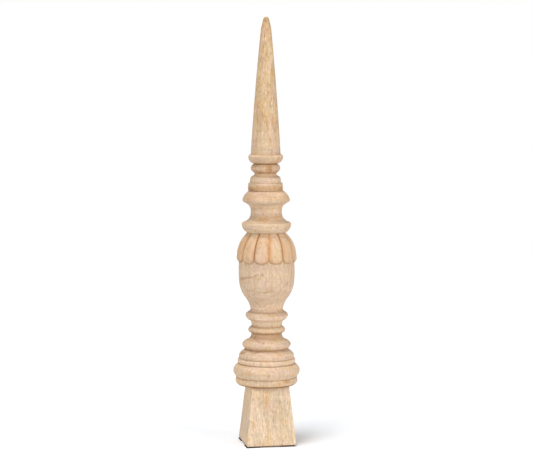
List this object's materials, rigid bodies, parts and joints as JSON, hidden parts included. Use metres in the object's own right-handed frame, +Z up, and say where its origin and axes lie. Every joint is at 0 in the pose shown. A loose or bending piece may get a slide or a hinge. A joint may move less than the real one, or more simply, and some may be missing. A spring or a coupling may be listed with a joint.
{
  "type": "decorative finial",
  "caption": "Tall turned wooden finial: square tapered foot, rolls and beads, a bulb with a carved ring of petals, and a plain pointed spire.",
  "frame": {"origin": "on the ground under the middle of the square foot, at the underside of the felt pads", "axes": "+Z up along the turning axis to the point, X and Y along the sides of the square foot, -Y the side that faces the viewer"},
  "size_m": [0.1172, 0.1172, 0.75],
  "materials": {
    "turned_wood": "bare pale hardwood, sanded, with fine upright grain, darker orange in the grooves and a few small knots",
    "felt": "thin dark felt"
  },
  "bodies": {
    "root": {"finial": "turned_wood", "felt_pad_front_left": "felt", "felt_pad_front_right": "felt", "felt_pad_back_left": "felt", "felt_pad_back_right": "felt"}
  },
  "joints": []
}
